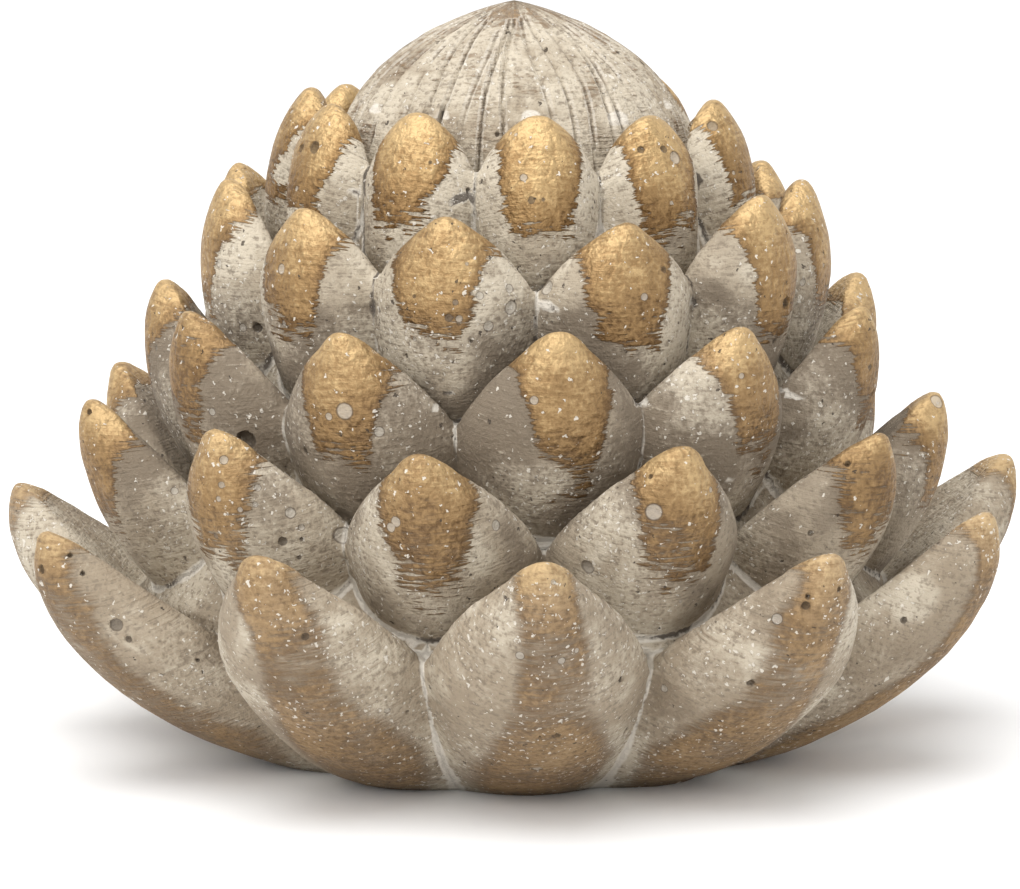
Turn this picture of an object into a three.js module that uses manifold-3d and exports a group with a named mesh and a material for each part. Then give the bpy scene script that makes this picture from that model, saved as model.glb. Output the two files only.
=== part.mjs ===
// Artichoke ornament: one solid casting that stands on its flat underside.
// Units are millimetres, +Z is up and the origin is at the middle of the underside.
// The front of the ornament faces -Y.
import * as THREE from "three";
import { mergeVertices } from "three/addons/utils/BufferGeometryUtils.js";
import Module from "manifold-3d";

const wasm = await Module();
wasm.setup();

// Overall sizes
const height = 149;
const leafReach = 100;
const leafCount = 11;

// Rings of leaves, from the bottom ring up
// The belly of a leaf runs from root to tip along a curve pulled outward at low and high.
// Each of those is [share of the leaf reach, share of the height].
// The rims run straight from the tip down to rimRoot, which is given in the same way.
// Widths, and the lengths from the tip over which they open, are shares of the leaf reach.
const rings = [
  {
    turn: 3.1,
    root: [0.34, -0.027],
    low: [0.8, 0.013],
    high: [1.1, 0.242],
    tip: [1.01, 0.362],
    halfWidth: 0.207,
    widthLength: 0.37,
    widthRound: 0.74,
    rimRoot: [0.3, 0.007],
    rows: 7,
  },
  {
    turn: 21.6,
    root: [0.6, 0.161],
    low: [0.81, 0.242],
    high: [0.925, 0.416],
    tip: [0.86, 0.493],
    halfWidth: 0.188,
    widthLength: 0.285,
    widthRound: 0.74,
    rimRoot: [0.42, 0.222],
    rows: 7,
  },
  {
    turn: 5.3,
    root: [0.5, 0.282],
    low: [0.73, 0.376],
    high: [0.795, 0.55],
    tip: [0.72, 0.6275],
    halfWidth: 0.18,
    widthLength: 0.275,
    widthRound: 0.7,
    rimRoot: [0.38, 0.315],
    rows: 7,
  },
  {
    turn: 21.5,
    root: [0.49, 0.43],
    low: [0.635, 0.523],
    high: [0.68, 0.685],
    tip: [0.585, 0.772],
    halfWidth: 0.156,
    widthLength: 0.192,
    widthRound: 0.68,
    rimRoot: [0.35, 0.443],
    rows: 6,
  },
  {
    turn: 6.2,
    root: [0.43, 0.59],
    low: [0.53, 0.678],
    high: [0.52, 0.8255],
    tip: [0.41, 0.886],
    halfWidth: 0.12,
    widthLength: 0.15,
    widthRound: 0.55,
    rimRoot: [0.36, 0.577],
    rows: 6,
  },
];

// Leaves whose tips stand a little off their place in the ring
// Each is [ring, leaf, turn in degrees, outward, upward], the last two as shares of the leaf reach.
const strays = [
  [0, 0, 0, 0, 0.02],
  [0, 1, 0.3, 0, 0],
  [0, 2, 0, -0.015, 0],
  [0, 3, 0, 0.02, 0.02],
  [0, 8, 0, 0, -0.02],
  [0, 9, 0, 0.015, -0.02],
  [0, 10, 1.2, 0, 0.01],
  [1, 0, 0, 0, 0.005],
  [1, 1, 1, 0, -0.02],
  [1, 2, 0, -0.015, -0.01],
  [1, 3, 3.5, 0, 0],
  [1, 9, 1.5, -0.01, 0.01],
  [1, 10, -0.7, 0, 0],
  [2, 0, 1.6, 0, 0.01],
  [2, 1, -1, 0, 0],
  [2, 2, 0, 0.005, -0.01],
  [2, 8, 0, -0.015, 0.005],
  [2, 9, 0, 0.01, 0],
  [3, 0, 0, 0, -0.02],
  [3, 1, 0, 0.01, 0.01],
  [3, 2, 0, -0.01, 0],
  [3, 7, 0, 0.01, 0.005],
  [3, 8, 0, -0.005, 0.015],
  [3, 9, 0, 0, -0.007],
  [3, 10, -1.6, 0.005, -0.005],
  [4, 1, 0, 0, -0.01],
  [4, 3, 0, -0.01, -0.045],
  [4, 7, 0, 0, -0.01],
  [4, 8, 0, -0.01, 0.01],
];

// Shape shared by all leaves
const tipRadius = 0.024 * leafReach;
const tipHalfWidth = 0.065 * leafReach;
const widthRise = 1.4;
const backDish = 0.08;
const rootDepth = 0.5;
const frontSteps = 6;
const backSteps = 2;
const tipCrowding = 1.9;

// Core between the leaves, as [share of the leaf reach, share of the height]
const coreProfile = [
  [0.4, 0],
  [0.54, 0.08],
  [0.69, 0.168],
  [0.74, 0.221],
  [0.61, 0.356],
  [0.56, 0.503],
  [0.46, 0.664],
  [0.42, 0.738],
  [0.39, 0.785],
];
const coreSteps = 33;

// Dome with fine flutes that meet at its top
const domeReach = 0.36 * leafReach;
const domeFoot = 0.738 * height;
const domePeak = 0.015 * height;
const fluteCount = 38;
const fluteDepth = 0.7;
const fluteFade = 12;
const domeRows = 6;

// Level cut under the casting
const trimSide = 3 * leafReach;
const trimDepth = 0.4 * leafReach;

const cement = new THREE.MeshStandardMaterial({
  color: 0x9c8458,
  roughness: 0.62,
  metalness: 0.3,
});

// Closed geometry to solid and back
function toSolid(geometry) {
  const bare = geometry.clone();
  bare.deleteAttribute("normal");
  bare.deleteAttribute("uv");
  const merged = mergeVertices(bare, 1e-4);
  return new wasm.Manifold(
    new wasm.Mesh({
      numProp: 3,
      vertProperties: new Float32Array(merged.attributes.position.array),
      triVerts: new Uint32Array(merged.index.array),
    }),
  );
}

function toGeometry(solid) {
  const { vertProperties, triVerts } = solid.getMesh();
  const geometry = new THREE.BufferGeometry();
  geometry.setAttribute("position", new THREE.BufferAttribute(vertProperties, 3));
  geometry.setIndex(new THREE.BufferAttribute(triVerts, 1));
  geometry.computeVertexNormals();
  return geometry;
}

// Leaves
function bellyCurve(ring) {
  const [root, low, high, tip] = [ring.root, ring.low, ring.high, ring.tip].map(
    ([reach, rise]) => new THREE.Vector3(reach * leafReach, 0, rise * height),
  );
  return new THREE.CubicBezierCurve3(root, low, high, tip);
}

// How far a round end of that radius has opened out at a distance from its tip
function roundEnd(radius, fromTip) {
  const within = Math.min(fromTip, radius);
  return Math.sqrt(within * (2 * radius - within));
}

function leafWidth(ring, fromTip) {
  const share = Math.min(fromTip / (ring.widthLength * leafReach), 1);
  const full = ring.halfWidth * leafReach;
  const tapered = full * (1 - (1 - share) ** widthRise) ** ring.widthRound;
  return Math.max(tapered, roundEnd(tipHalfWidth, fromTip));
}

// Place on a leaf's section: across the leaf, and inward from its belly
// The belly side is half an ellipse and the inner side is a shallow dish.
function sectionPoint(width, depth, round) {
  const frontShare = frontSteps / (frontSteps + backSteps);
  if (round <= frontShare) {
    const angle = (round / frontShare - 0.5) * Math.PI;
    return [width * Math.sin(angle), depth * (1 - Math.cos(angle))];
  }
  const across = 1 - (2 * (round - frontShare)) / (1 - frontShare);
  return [width * across, depth * (1 - backDish * (1 - across * across))];
}

// A sphere whose poles become the leaf's tip and root
// The rims run straight from the inner side of the round tip down to the rim root.
// The tip may stray outward and upward, which fades to nothing at the root.
function leafGeometry(ring, outward, upward) {
  const curve = bellyCurve(ring);
  const length = curve.getLength();
  const around = frontSteps + backSteps;
  const geometry = new THREE.SphereGeometry(1, around, ring.rows);
  const place = geometry.attributes.position;
  const side = new THREE.Vector3(0, 1, 0);
  const stray = new THREE.Vector3(outward, 0, upward).multiplyScalar(leafReach);
  const rimRoot = new THREE.Vector3(ring.rimRoot[0] * leafReach, 0, ring.rimRoot[1] * height);
  const tipInward = curve.getTangentAt(1).cross(side);
  const rimTip = curve.getPointAt(1).addScaledVector(tipInward, 2 * tipRadius);
  for (let row = 0; row <= ring.rows; row += 1) {
    const fromTip = length * (row / ring.rows) ** tipCrowding;
    const at = 1 - fromTip / length;
    const belly = curve.getPointAt(at);
    const inward = rimRoot.clone().lerp(rimTip, at).sub(belly);
    const isRoot = row === ring.rows;
    const isPole = row === 0 || isRoot;
    const tipInset = tipRadius - roundEnd(tipRadius, fromTip);
    const width = leafWidth(ring, fromTip);
    const depth = (inward.length() - 2 * tipInset) * (isRoot ? rootDepth : 1);
    inward.normalize();
    belly.addScaledVector(stray, at * at);
    for (let step = 0; step <= around; step += 1) {
      const round = (step % around) / around;
      const [across, inset] = isPole ? [0, depth] : sectionPoint(width, depth, round);
      const point = belly.clone().addScaledVector(inward, tipInset + inset);
      place.setXYZ(row * (around + 1) + step, point.x, across, point.z);
    }
  }
  return geometry;
}

function placedLeaf(ringIndex, leafIndex) {
  const ring = rings[ringIndex];
  const [, , turn, outward, upward] = strays.find(
    ([inRing, leaf]) => inRing === ringIndex && leaf === leafIndex,
  ) ?? [ringIndex, leafIndex, 0, 0, 0];
  const azimuth = ring.turn + turn + (360 / leafCount) * leafIndex;
  const turned = THREE.MathUtils.degToRad(azimuth - 90);
  return leafGeometry(ring, outward, upward).rotateZ(turned);
}

function leaves() {
  const solids = [];
  for (let ringIndex = 0; ringIndex < rings.length; ringIndex += 1) {
    for (let leafIndex = 0; leafIndex < leafCount; leafIndex += 1) {
      solids.push(toSolid(placedLeaf(ringIndex, leafIndex)));
    }
  }
  return solids;
}

// Core
function coreSolid() {
  const outer = coreProfile.map(
    ([reach, rise]) => new THREE.Vector2(reach * leafReach, rise * height),
  );
  const top = outer[outer.length - 1].y;
  const outline = [new THREE.Vector2(0, 0), ...outer, new THREE.Vector2(0, top)];
  return toSolid(new THREE.LatheGeometry(outline, coreSteps).rotateX(Math.PI / 2));
}

// Dome
function domeHeight(reach) {
  const share = Math.min(reach / domeReach, 1);
  const roundDrop = domeReach * (1 - Math.sqrt(1 - share * share));
  return height - roundDrop - domePeak * Math.sin(Math.PI * share);
}

function domeOutline() {
  const outline = [new THREE.Vector2(0, domeFoot), new THREE.Vector2(domeReach, domeFoot)];
  for (let row = 0; row < domeRows; row += 1) {
    const reach = domeReach * Math.cos((Math.PI / 2) * (row / domeRows));
    outline.push(new THREE.Vector2(reach, domeHeight(reach)));
  }
  outline.push(new THREE.Vector2(0, height));
  return outline;
}

// Every second spoke of the dome is drawn in, which leaves the flutes between ribs.
function domeSolid() {
  const outline = domeOutline();
  const spokes = fluteCount * 2;
  const geometry = new THREE.LatheGeometry(outline, spokes).rotateX(Math.PI / 2);
  const place = geometry.attributes.position;
  for (let index = 0; index < place.count; index += 1) {
    const spoke = Math.floor(index / outline.length) % spokes;
    const reach = Math.hypot(place.getX(index), place.getY(index));
    if (spoke % 2 === 1 && reach > fluteDepth) {
      const kept = 1 - (fluteDepth * Math.min(1, reach / fluteFade)) / reach;
      place.setX(index, place.getX(index) * kept);
      place.setY(index, place.getY(index) * kept);
    }
  }
  return toSolid(geometry);
}

// Casting: everything joined and cut level underneath
function casting() {
  const below = new THREE.BoxGeometry(trimSide, trimSide, trimDepth);
  below.translate(0, 0, -trimDepth / 2);
  const joined = [coreSolid(), domeSolid(), ...leaves()].reduce((all, next) => all.add(next));
  return joined.subtract(toSolid(below));
}

const artichoke = new THREE.Mesh(toGeometry(casting()), cement);
artichoke.name = "artichoke";

const ornament = new THREE.Group();
ornament.add(artichoke);

export default ornament;
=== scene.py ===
# Artichoke ornament: a solid cement casting brushed with dull gold.
import math
import random
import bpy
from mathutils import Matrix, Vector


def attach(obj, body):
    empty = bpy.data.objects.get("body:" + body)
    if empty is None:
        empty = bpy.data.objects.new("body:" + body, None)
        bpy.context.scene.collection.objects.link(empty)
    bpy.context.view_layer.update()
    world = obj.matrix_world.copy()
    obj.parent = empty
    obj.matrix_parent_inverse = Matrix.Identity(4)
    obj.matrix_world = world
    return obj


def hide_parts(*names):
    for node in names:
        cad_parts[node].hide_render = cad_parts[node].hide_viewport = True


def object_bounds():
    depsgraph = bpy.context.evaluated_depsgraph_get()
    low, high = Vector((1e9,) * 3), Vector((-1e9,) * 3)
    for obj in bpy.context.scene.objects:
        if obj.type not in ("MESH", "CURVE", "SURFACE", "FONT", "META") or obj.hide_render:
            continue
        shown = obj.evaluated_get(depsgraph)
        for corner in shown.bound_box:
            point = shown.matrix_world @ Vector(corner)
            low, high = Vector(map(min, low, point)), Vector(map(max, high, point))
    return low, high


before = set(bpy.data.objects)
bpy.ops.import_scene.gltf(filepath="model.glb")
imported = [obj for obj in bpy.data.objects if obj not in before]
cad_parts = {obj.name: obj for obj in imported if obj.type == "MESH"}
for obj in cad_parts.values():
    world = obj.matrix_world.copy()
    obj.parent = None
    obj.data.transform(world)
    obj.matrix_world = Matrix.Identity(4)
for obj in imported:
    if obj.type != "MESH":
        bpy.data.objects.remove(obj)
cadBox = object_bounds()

from types import SimpleNamespace

import bmesh
import bpy
import numpy as np
from mathutils import Matrix, Vector, kdtree, noise

mm = 0.001
scene = bpy.context.scene

# a long lens, a little above the lower leaves
cameraSettings = {
    "lookAt": Vector((-0.8 * mm, 0, 60 * mm)),
    "distance": 1200 * mm,
    "rise": math.radians(9.6),
    "lens": 211.8,
    "sensor": 36,
    "nearest": 50 * mm,
}


def addCamera(settings):
    rise = settings["rise"]
    away = Vector((0, -math.cos(rise), math.sin(rise))) * settings["distance"]
    data = bpy.data.cameras.new("camera")
    data.lens = settings["lens"]
    data.sensor_width = settings["sensor"]
    data.clip_start = settings["nearest"]
    camera = bpy.data.objects.new("camera", data)
    camera.location = settings["lookAt"] + away
    camera.rotation_euler = away.to_track_quat("Z", "Y").to_euler()
    scene.collection.objects.link(camera)
    scene.camera = camera


addCamera(cameraSettings)
print("camera placed")

# The leaves of one ring share a belly curve: root, low, high and tip as (reach, height) in mm.
# Their rims run straight from the tip to rimRoot. A leaf opens to its halfWidth over
# widthLength mm from the tip, and a smaller widthRound makes it blunter.
leafRings = [
    {"turn": 3.1, "root": (34, -4), "low": (80, 2), "high": (110, 36), "tip": (101, 54),
     "rimRoot": (30, -2), "halfWidth": 21.4, "widthLength": 37, "widthRound": 0.74},
    {"turn": 21.6, "root": (60, 24), "low": (81, 36), "high": (92.5, 62), "tip": (86, 73.5),
     "rimRoot": (42, 33), "halfWidth": 18.8, "widthLength": 28.5, "widthRound": 0.74},
    {"turn": 5.3, "root": (50, 42), "low": (73, 56), "high": (79.5, 82), "tip": (72, 93.5),
     "rimRoot": (38, 48.5), "halfWidth": 18.6, "widthLength": 27, "widthRound": 0.7},
    {"turn": 21.5, "root": (49, 64), "low": (63.5, 78), "high": (68, 102), "tip": (58.5, 115),
     "rimRoot": (35, 68), "halfWidth": 16.2, "widthLength": 19, "widthRound": 0.68},
    {"turn": 6.2, "root": (43, 88), "low": (53, 101), "high": (52, 123), "tip": (41, 132),
     "rimRoot": (36, 86), "halfWidth": 12, "widthLength": 14, "widthRound": 0.52},
]

# leaves whose tips stand off their place: (ring, leaf): (turn in degrees, outward, upward in mm)
strays = {
    (0, 0): (0, 0, 2), (0, 1): (0.3, 0, 0), (0, 2): (0, -1.5, 0), (0, 3): (0, 2, 2),
    (0, 8): (0, 0, -2), (0, 9): (0, 1.5, -2), (0, 10): (1.2, 0, 1),
    (1, 0): (0, 0, 0.5), (1, 1): (1, 0, -2), (1, 2): (0, -1.5, -1), (1, 3): (3.5, 0, 0),
    (1, 9): (1.5, -1, 1), (1, 10): (-0.7, 0, 0),
    (2, 0): (1.6, 0, 1), (2, 1): (-1, 0, 0), (2, 2): (0, 0.5, -1), (2, 8): (0, -1.5, 0.5),
    (2, 9): (0, 1, 0),
    (3, 0): (0, 0, -2), (3, 1): (0, 1, 1), (3, 2): (0, -1, 0), (3, 7): (0, 1, 0.5),
    (3, 8): (0, -0.5, 1.5), (3, 9): (0, 0, -0.7), (3, 10): (-1.6, 0.5, -0.5),
    (4, 1): (0, 0, -1), (4, 3): (0, -1, -4.5), (4, 7): (0, 0, -1), (4, 8): (0, -1, 1),
}

leafShape = {
    "count": 11,
    "widthRise": 1.4,  # how soon a leaf widens
    "backDish": 0.08,  # hollow of the inner face, as a share of the leaf's depth
    "middle": 0.62,  # where a section is centred, as a share of its depth
    "rimBlend": 7,  # higher makes the rims sharper
    "rootDepth": 0.5,
    "tipRadius": 2.4,
    "tipHalfWidth": 6.5,
    "around": 36,
    "rows": 28,
    "tipCrowding": 1.9,
}

castingShape = {
    "height": 149,
    "core": [(0, 0), (40, 0), (54, 12), (69, 25), (74, 33), (61, 53), (56, 75), (46, 99),
             (42, 110), (39, 117), (0, 117)],
    "coreSteps": 66,
    "domeReach": 36,
    "domeFoot": 110,
    "domePeak": 2.2,  # how far the dome falls away from a ball towards its top
    "domeRows": 36,
    "domeSteps": 380,
    "voxel": 0.8,
    "smoothing": 4,
    "smoothShare": 0.5,
    "leafTriangles": 134000,
}


def bellyPoints(ring, steps=160):  # the belly curve, from root to tip
    corners = [Vector((reach, 0, height)) for reach, height in
               (ring["root"], ring["low"], ring["high"], ring["tip"])]
    points = []
    for step in range(steps + 1):
        t = step / steps
        s = 1 - t
        points.append(s ** 3 * corners[0] + 3 * s * s * t * corners[1]
                      + 3 * s * t * t * corners[2] + t ** 3 * corners[3])
    return points


def bellyAt(points, fromTip):  # place and direction at a distance from the tip
    left = fromTip
    for far, near in zip(points[-2::-1], points[:0:-1]):
        step = (near - far).length
        if left <= step:
            return near.lerp(far, left / step), (near - far).normalized()
        left -= step
    return points[0].copy(), (points[1] - points[0]).normalized()


def roundEnd(radius, fromTip):  # how far a round end has opened out, this far from its tip
    within = np.minimum(fromTip, radius)
    return np.sqrt(within * (2 * radius - within))


def leafWidth(ring, fromTip):  # half the width of a leaf
    share = np.minimum(fromTip / ring["widthLength"], 1)
    tapered = (1 - (1 - share) ** leafShape["widthRise"]) ** ring["widthRound"]
    return np.maximum(ring["halfWidth"] * tapered, roundEnd(leafShape["tipHalfWidth"], fromTip))


def tipInset(fromTip):  # the belly rounds back towards the inner face at the tip
    return leafShape["tipRadius"] - roundEnd(leafShape["tipRadius"], fromTip)


def sectionRing(width, depth, steps):  # half an ellipse outside, a shallow dish inside, round rims
    turns = np.arange(steps) / steps * 2 * math.pi
    side, inward = np.sin(turns), np.cos(turns)
    middle = leafShape["middle"] * depth
    a = (side / width) ** 2 + (inward / depth) ** 2
    b = (middle - depth) * inward / depth ** 2
    c = ((middle - depth) / depth) ** 2 - 1
    toBelly = (np.sqrt(b * b - a * c) - b) / a
    toInner = (depth - middle) / np.maximum(inward, 1e-3)
    blend = leafShape["rimBlend"]
    reach = (toBelly ** -blend + toInner ** -blend) ** (-1 / blend)
    across = side * reach
    across *= width / np.abs(across).max()
    inset = middle + inward * reach
    dish = leafShape["backDish"] * (1 - (across / width) ** 2)
    inset -= depth * dish * np.clip(inset / depth * 2 - 1, 0, 1)
    return across, inset


def leafBlank():  # a ball whose points addLeaf moves
    mesh = bmesh.new()
    bmesh.ops.create_uvsphere(
        mesh, u_segments=leafShape["around"], v_segments=leafShape["rows"], radius=1)
    data = bpy.data.meshes.new("leafBlank")
    mesh.to_mesh(data)
    mesh.free()
    return data


def leafHeading(ringIndex, leafIndex):  # azimuth of a leaf, -90 degrees at the front
    turn = strays.get((ringIndex, leafIndex), (0, 0, 0))[0]
    step = 360 / leafShape["count"]
    return math.radians(leafRings[ringIndex]["turn"] + turn + step * leafIndex) - math.pi / 2


def leafStations(ringIndex, leafIndex, fromTips):  # the belly there, and the rim across from it
    ring = leafRings[ringIndex]
    outward, upward = strays.get((ringIndex, leafIndex), (0, 0, 0))[1:]
    points = bellyPoints(ring)
    length = sum((b - a).length for a, b in zip(points, points[1:]))
    tip, along = bellyAt(points, 0)
    rimTip = tip + Vector((-along.z, 0, along.x)) * 2 * leafShape["tipRadius"]
    rimRoot = Vector((ring["rimRoot"][0], 0, ring["rimRoot"][1]))
    stations = []
    for share in fromTips:
        at = 1 - share
        stray = Vector((outward, 0, upward)) * at * at
        belly = bellyAt(points, share * length)[0]
        stations.append((share * length, belly + stray, rimRoot.lerp(rimTip, at) + stray))
    return stations


def addLeaf(mesh, blank, ringIndex, leafIndex):
    ring = leafRings[ringIndex]
    around = leafShape["around"]
    count = leafShape["rows"]
    heading = Matrix.Rotation(leafHeading(ringIndex, leafIndex), 3, "Z")
    shares = [(row / count) ** leafShape["tipCrowding"] for row in range(count + 1)]
    rows = []
    for fromTip, belly, rim in leafStations(ringIndex, leafIndex, shares):
        front = tipInset(fromTip)
        depth = (rim - belly).length - 2 * front
        if len(rows) in (0, count):
            across = np.zeros(around)
            inset = np.full(around, depth * leafShape["rootDepth"])
        else:
            across, inset = sectionRing(leafWidth(ring, fromTip), depth, around)
        rows.append((belly, (rim - belly).normalized(), across, inset + front))
    first = len(mesh.verts)
    mesh.from_mesh(blank)
    mesh.verts.ensure_lookup_table()
    for vert in mesh.verts[first:]:
        row = round(math.acos(max(-1, min(1, vert.co.z))) / math.pi * count)
        belly, inward, across, inset = rows[row]
        step = round(math.atan2(vert.co.y, vert.co.x) / (2 * math.pi) * around) % around
        place = belly + inward * inset[step]
        vert.co = heading @ Vector((place.x, across[step], place.z)) * mm


def addTurned(mesh, profile, steps):  # a (reach, height) line in mm turned round the axis
    rows = len(profile) - 1
    made = bmesh.ops.create_uvsphere(mesh, u_segments=steps, v_segments=rows, radius=1)
    for vert in made["verts"]:
        row = round(math.acos(max(-1, min(1, vert.co.z))) / math.pi * rows)
        reach, height = profile[rows - row]
        azimuth = math.atan2(vert.co.y, vert.co.x)
        vert.co = Vector((reach * math.cos(azimuth), reach * math.sin(azimuth), height)) * mm


def domeHeight(reach):
    shape = castingShape
    share = min(reach / shape["domeReach"], 1)
    roundDrop = shape["domeReach"] * (1 - math.sqrt(1 - share * share))
    return shape["height"] - roundDrop - shape["domePeak"] * math.sin(math.pi * share)


def domeProfile(rows):
    profile = [(0, castingShape["domeFoot"])]
    for row in range(rows):
        reach = castingShape["domeReach"] * math.cos(math.pi / 2 * row / rows)
        profile.append((reach, domeHeight(reach)))
    profile.append((0, castingShape["height"]))
    return profile


def newPiece(name, mesh):
    data = bpy.data.meshes.new(name)
    mesh.to_mesh(data)
    mesh.free()
    piece = bpy.data.objects.new(name, data)
    scene.collection.objects.link(piece)
    return piece


def leavesAndCore():
    mesh = bmesh.new()
    blank = leafBlank()
    for ringIndex in range(len(leafRings)):
        for leafIndex in range(leafShape["count"]):
            addLeaf(mesh, blank, ringIndex, leafIndex)
    addTurned(mesh, castingShape["core"], castingShape["coreSteps"])
    bmesh.ops.recalc_face_normals(mesh, faces=mesh.faces)
    return newPiece("castArtichoke", mesh)


def applyModifiers(piece):
    depsgraph = bpy.context.evaluated_depsgraph_get()
    data = bpy.data.meshes.new_from_object(piece.evaluated_get(depsgraph))
    old = piece.data
    piece.modifiers.clear()
    piece.data = data
    bpy.data.meshes.remove(old)
    data.name = piece.name


def fuse(piece):  # one skin with soft cast corners
    remesh = piece.modifiers.new("remesh", "REMESH")
    remesh.mode = "VOXEL"
    remesh.voxel_size = castingShape["voxel"] * mm
    smooth = piece.modifiers.new("smooth", "SMOOTH")
    smooth.factor = castingShape["smoothShare"]
    smooth.iterations = castingShape["smoothing"]
    applyModifiers(piece)
    mesh = bmesh.new()
    mesh.from_mesh(piece.data)
    everything = mesh.verts[:] + mesh.edges[:] + mesh.faces[:]
    bmesh.ops.bisect_plane(mesh, geom=everything, plane_co=(0, 0, 0), plane_no=(0, 0, 1),
                           clear_inner=True)
    rim = [edge for edge in mesh.edges if edge.is_boundary]
    bmesh.ops.holes_fill(mesh, edges=rim, sides=0)
    mesh.to_mesh(piece.data)
    mesh.free()
    thin = piece.modifiers.new("thin", "DECIMATE")
    thin.ratio = castingShape["leafTriangles"] / (2 * len(piece.data.polygons))
    applyModifiers(piece)


# slow lumps and small dents of the cast surface, in mm
surfaceShape = {
    "lump": 0.38,
    "lumpSize": 15,
    "lumpSink": 0.35,
    "dent": 0.14,
    "dentSize": 4.5,
    "flatBelow": 0.3,
}


def unevenSurface(piece):
    mesh = bmesh.new()
    mesh.from_mesh(piece.data)
    mesh.normal_update()
    shape = surfaceShape
    shift = Vector((7.3, 1.9, 4.4))
    for vert in mesh.verts:
        if vert.co.z < shape["flatBelow"] * mm:
            continue
        place = vert.co / mm
        lump = noise.noise(place / shape["lumpSize"] + shift)
        dent = noise.noise(place / shape["dentSize"] - shift)
        rise = (lump - shape["lumpSink"]) * shape["lump"] + dent * shape["dent"]
        vert.co += vert.normal * rise * mm
    low, high = (Vector(corner) for corner in cadBox)
    for vert in mesh.verts:
        vert.co = Vector(min(max(c, a), b) for c, a, b in zip(vert.co, low, high))
    mesh.to_mesh(piece.data)
    mesh.free()


# grooves that run down the dome, in mm
grooveShape = {
    "count": 40,
    "depth": 0.85,
    "depths": (0.55, 1.1),  # least and most, as shares
    "halfWidth": 0.62,
    "widths": (0.7, 1.25),
    "roundness": 0.8,
    "drop": 0.35,  # how far a groove also sinks, as a share of its depth
    "stray": 0.26,  # as a share of the turn from one groove to the next
    "start": (3.5, 11),
    "fade": 9,
    "edge": 0.2,
    "edgeWidth": 0.9,
    "bend": 0.055,
    "seed": 5,
}


def grooveLines():  # (azimuth, depth, half width, reach where it starts) of each groove
    shape = grooveShape
    dice = random.Random(shape["seed"])
    step = 2 * math.pi / shape["count"]
    lines = []
    for index in range(shape["count"]):
        azimuth = (index + dice.uniform(-1, 1) * shape["stray"]) * step
        depth = shape["depth"] * dice.uniform(*shape["depths"])
        width = shape["halfWidth"] * dice.uniform(*shape["widths"])
        lines.append((azimuth, depth, width, dice.uniform(*shape["start"])))
    return lines


def grooveBend(at, reach):
    return grooveShape["bend"] * np.sin(reach * 0.13 + at * 7)


def grooveGap(azimuths, reach):  # mm from the nearest groove, large where none has begun
    nearest = np.full(len(reach), markShape["noGroove"])
    for at, _, _, start in grooveLines():
        turn = azimuths - at - grooveBend(at, reach) + math.pi
        gap = np.abs(turn % (2 * math.pi) - math.pi) * reach
        near = (gap < nearest) & (reach > start + 2)
        nearest[near] = gap[near]
    return nearest


def pressGrooves(mesh):
    shape = grooveShape
    edgeWidth = shape["edgeWidth"]
    lines = grooveLines()
    for vert in mesh.verts:
        place = vert.co / mm
        reach = math.hypot(place.x, place.y)
        if reach < 1:
            continue
        azimuth = math.atan2(place.y, place.x)
        sink = 0
        for at, depth, width, start in lines:
            turn = (azimuth - at - grooveBend(at, reach) + math.pi) % (2 * math.pi) - math.pi
            off = abs(turn) * reach / width
            fade = min(max((reach - start) / shape["fade"], 0), 1)
            if off < 1:
                sink = max(sink, depth * fade * (1 - off) ** shape["roundness"])
            elif off < 1 + edgeWidth:
                sink -= shape["edge"] * fade * math.sin((off - 1) / edgeWidth * math.pi)
        vert.co.x *= 1 - sink / reach
        vert.co.y *= 1 - sink / reach
        vert.co.z -= shape["drop"] * sink * mm


def grooveDome():
    mesh = bmesh.new()
    addTurned(mesh, domeProfile(castingShape["domeRows"]), castingShape["domeSteps"])
    pressGrooves(mesh)
    bmesh.ops.recalc_face_normals(mesh, faces=mesh.faces)
    return newPiece("groovedDome", mesh)


def joinDome(piece):
    dome = grooveDome()
    join = piece.modifiers.new("dome", "BOOLEAN")
    join.operation = "UNION"
    join.solver = "MANIFOLD"
    join.object = dome
    applyModifiers(piece)
    bpy.data.objects.remove(dome)


# places on the casting, worked out for many points at once
def profileGap(reach, height, profile):  # how far points stand off a turned form
    nearest = np.full(len(reach), 1e9)
    line = [np.array(pair) for pair in profile]
    for a, b in zip(line, line[1:]):
        step = b - a
        share = ((reach - a[0]) * step[0] + (height - a[1]) * step[1]) / math.hypot(*step) ** 2
        share = np.clip(share, 0, 1)
        gap = np.hypot(reach - a[0] - share * step[0], height - a[1] - share * step[1])
        nearest = np.minimum(nearest, gap)
    return nearest


# goes down the leaf's sections from the tip until a point lies past one
def leafFoot(ringIndex, leafIndex, out, height):  # distance from the tip, inset and depth there
    fromTip = np.zeros(len(out))
    inset = np.zeros(len(out))
    depth = np.zeros(len(out))
    todo = np.ones(len(out), bool)
    last = None
    for far, belly, rim in leafStations(ringIndex, leafIndex, np.linspace(0, 1, 25) ** 1.6):
        gapX, gapZ = out - belly.x, height - belly.z
        inward = (rim - belly).normalized()
        past = gapX * inward.z - gapZ * inward.x  # how far beyond this section, towards the tip
        here = (far, gapX * inward.x + gapZ * inward.z, (rim - belly).length)
        if last is None:
            now = past >= 0
            share = np.ones(len(out))
            last = (here, past)
            here = (0, here[1] - np.maximum(past, 0), here[2])
        else:
            now = todo & (past >= 0)
            share = last[1] / np.where(now, last[1] - past, -1)
        for values, before, after in zip((fromTip, inset, depth), last[0], here):
            values[now] = (before + (after - before) * share)[now]
        todo &= ~now
        last = (here, past)
    for values, after in zip((fromTip, inset, depth), here):
        values[todo] = np.broadcast_to(after, len(out))[todo]
    return fromTip, inset, depth


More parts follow.
